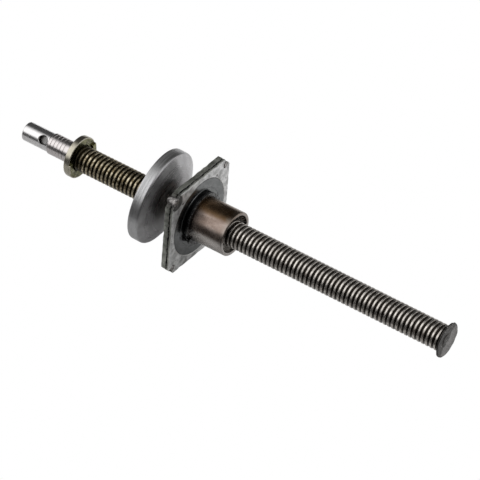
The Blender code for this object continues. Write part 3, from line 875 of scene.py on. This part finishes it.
def retainers(dark, rubber):
    """At each end of the sleeve, a wiper behind a retainer ring with five open slots."""
    for side, outward in (("rear", -1), ("front", 1)):
        back, front, _ = ends(f"{side}_wiper")
        make_piece(f"{side}_felt", turned_shape(rounded([
            (back, 9.8 * MM, 0.4 * MM), (front, 9.8 * MM, 0.4 * MM), (front, 13.9 * MM), (back, 13.9 * MM),
        ]), ROUND), rubber, "wiper", "nut_unit", f"{side}_wiper")
        back, front, _ = ends(f"{side}_retainer")
        ring = make_piece(f"{side}_cage", turned_shape(rounded([
            (back, 10.2 * MM, 0.3 * MM), (front, 10.2 * MM, 0.3 * MM), (front, 13.95 * MM, 0.4 * MM),
            (back, 13.95 * MM, 0.4 * MM)]), ROUND), dark, "ring_steel", "nut_unit", f"{side}_retainer")
        tools = []
        for number in range(5):
            angle = WHOLE_TURN * (number + 0.25) / 5
            size = (front - back + 4 * MM, 3.0 * MM, 3.6 * MM)
            middle = at((back + front) / 2, 10.9 * MM, angle)
            tools.append(cutting_tool(rounded_block(middle, size, angle, 0.5 * MM)))
        carve(ring, tools)


def balls(material):
    """Full-size 3/32 in balls in place of the slightly smaller solids."""
    radius = 25.4 * MM * 3 / 64
    mesh = None
    for number in range(22):
        node = f"ball_{number + 1:02d}"
        low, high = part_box(node)
        shape = bmesh.new()
        bmesh.ops.create_uvsphere(shape, u_segments=20, v_segments=12, radius=radius)
        bmesh.ops.translate(shape, vec=(low + high) / 2, verts=shape.verts)
        make_piece(f"bearing_{number + 1:02d}", shape, material, "ball_steel", "nut_unit", node)


def carried_over(finishes):
    """The solids inside the nut keep their CAD shape and take a procedural finish."""
    for node, name in (("ball_nut_body", "nut_steel"), ("ball_return_1", "dark_steel"),
                       ("ball_return_2", "dark_steel")):
        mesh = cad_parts[node].data
        mesh.materials.clear()
        mesh.materials.append(finishes[name])


# ---------------------------------------------------------------- studio


def studio(lowest):
    """A pale floor: pure white to the eye, and in reflections bright near the screw and behind it,
    with the dark room in front of its near edge."""
    shape = bmesh.new()
    bmesh.ops.create_grid(shape, x_segments=1, y_segments=1, size=FLOOR_REACH)
    mesh = bpy.data.meshes.new("floor")
    shape.to_mesh(mesh)
    shape.free()
    floor = bpy.data.objects.new("floor", mesh)
    bpy.context.scene.collection.objects.link(floor)
    floor.location = (0, 0, lowest - 0.5 * MM)
    material = bpy.data.materials.new("floor_paper")
    material.use_nodes = True
    tree = material.node_tree
    nodes = Nodes(tree)
    place = nodes.add("ShaderNodeNewGeometry").outputs["Position"]
    x, y, _ = nodes.add("ShaderNodeSeparateXYZ", {}, {0: place}).outputs
    from_edge = nodes.math("ADD", y, nodes.span(x, 0.10, 0.20, 0.088, 0.038))
    paper = tree.nodes["Principled BSDF"]
    paper.inputs["Roughness"].default_value = 0.9
    paper.inputs["Emission Color"].default_value = (1, 1, 1, 1)
    tree.links.new(nodes.span(from_edge, -0.025, 0.02, 0.06, 0.9), paper.inputs["Base Color"])
    tree.links.new(nodes.span(y, -0.03, 0.05, 0.0, 0.34), paper.inputs["Emission Strength"])
    glow = nodes.add("ShaderNodeEmission", {}, {"Color": (1, 1, 1, 1), "Strength": 1.0})
    seen = nodes.add("ShaderNodeMixShader", {}, {
        0: nodes.add("ShaderNodeLightPath").outputs["Is Camera Ray"], 1: paper.outputs[0],
        2: glow.outputs[0]})
    tree.links.new(seen.outputs[0], tree.nodes["Material Output"].inputs["Surface"])
    mesh.materials.append(material)


def surroundings():
    """The room: white to the eye. In reflections it is dim, with a long soft panel on the drive side
    from overhead down to the front, a weaker one above the free end and one low behind it."""
    world = bpy.data.worlds.new("studio")
    bpy.context.scene.world = world
    world.use_nodes = True
    world.node_tree.nodes.clear()
    nodes = Nodes(world.node_tree)

    def patch(turns, crossways, strength):
        """A soft-edged light between these turns (degrees from +Y to +Z) and these shares of +X."""
        level = strength
        for value, edges in ((turn, [math.radians(edge) for edge in turns]), (x, crossways)):
            for low, high in (edges[:2], (edges[3], edges[2])):
                level = nodes.math("MULTIPLY", level, nodes.span(value, low, high))
        return level

    direction = nodes.add("ShaderNodeTexCoord").outputs["Generated"]
    x, y, z = nodes.add("ShaderNodeSeparateXYZ", {}, {0: direction}).outputs
    turn = nodes.math("ARCTAN2", z, y)
    light = nodes.math("ADD", ROOM_LEVEL, patch((70, 116, 152, 177), (-1.1, -1.0, -0.15, 0.2), 1.9))
    light = nodes.math("ADD", light, patch((55, 80, 108, 128), (0.1, 0.3, 0.7, 0.95), 0.8))
    light = nodes.math("ADD", light, patch((-90, -60, 70, 100), (0.25, 0.4, 1.0, 1.1), 0.9))
    room = nodes.add("ShaderNodeBackground", {}, {"Strength": light})
    eye = nodes.add("ShaderNodeBackground", {}, {"Strength": 1.0})
    seen = nodes.add("ShaderNodeMixShader", {}, {
        0: nodes.add("ShaderNodeLightPath").outputs["Is Camera Ray"], 1: room.outputs[0],
        2: eye.outputs[0]})
    nodes.add("ShaderNodeOutputWorld", {}, {0: seen.outputs[0]})


def camera():
    """A long lens at the photograph's angle: 24.5 degrees in front of square to the screw."""
    towards_end = math.sin(math.radians(24.52))
    square = math.cos(math.radians(24.52))
    around = math.radians(43.3)
    facing = Vector((0, -math.cos(around), math.sin(around)))
    back = Vector((1, 0, 0)) * towards_end + facing * square
    along = (Vector((1, 0, 0)) - back * towards_end) / square
    below = Vector((1, 0, 0)).cross(facing)
    right = (0.8946 * along - 0.4468 * below).normalized()
    down = (0.4468 * along + 0.8946 * below).normalized()
    distance, focal_pixels = 2.197, 3200
    half_pixel = 0.5 * distance / focal_pixels
    target = Vector((0.187, 0, 0)) + 0.0021 * below - half_pixel * (right + down)
    data = bpy.data.cameras.new("camera")
    data.sensor_width = 36
    data.lens = 240
    shot = bpy.data.objects.new("camera", data)
    bpy.context.scene.collection.objects.link(shot)
    turn = Matrix((right, -down, back)).transposed().to_4x4()
    shot.matrix_world = Matrix.Translation(target + back * distance) @ turn
    bpy.context.scene.camera = shot


def main():
    dark = dark_finish()
    thread = thread_finish()
    wiper = wiper_finish()
    finishes = {"nut_steel": nut_finish(), "dark_steel": dark}
    screw_shaft(thread)
    drive_journal(journal_finish())
    end_stop(stop_finish())
    thrust_collar(zinc_finish())
    guide_disc(disc_finish())
    plate_steel = plate_finish()
    plate("plate_rear", "rear_plate", 20.15 * MM, 1.3, plate_steel)
    plate("plate_front", "front_plate", 29.35 * MM, 7.9, plate_steel)
    corner_tacks(tack_finish())
    nut_shell(dark, sleeve_finish(), ring_finish("snap_ring_steel", (0.025, 0.025, 0.025), (0.15, 0.15, 0.148)))
    retainers(ring_finish("retainer_steel", (0.10, 0.10, 0.095), (0.55, 0.55, 0.53)), wiper)
    balls(ball_finish())
    carried_over(finishes)
    low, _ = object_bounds()
    studio(low.z)
    surroundings()
    camera()
    bpy.context.scene.view_settings.view_transform = "Standard"


main()
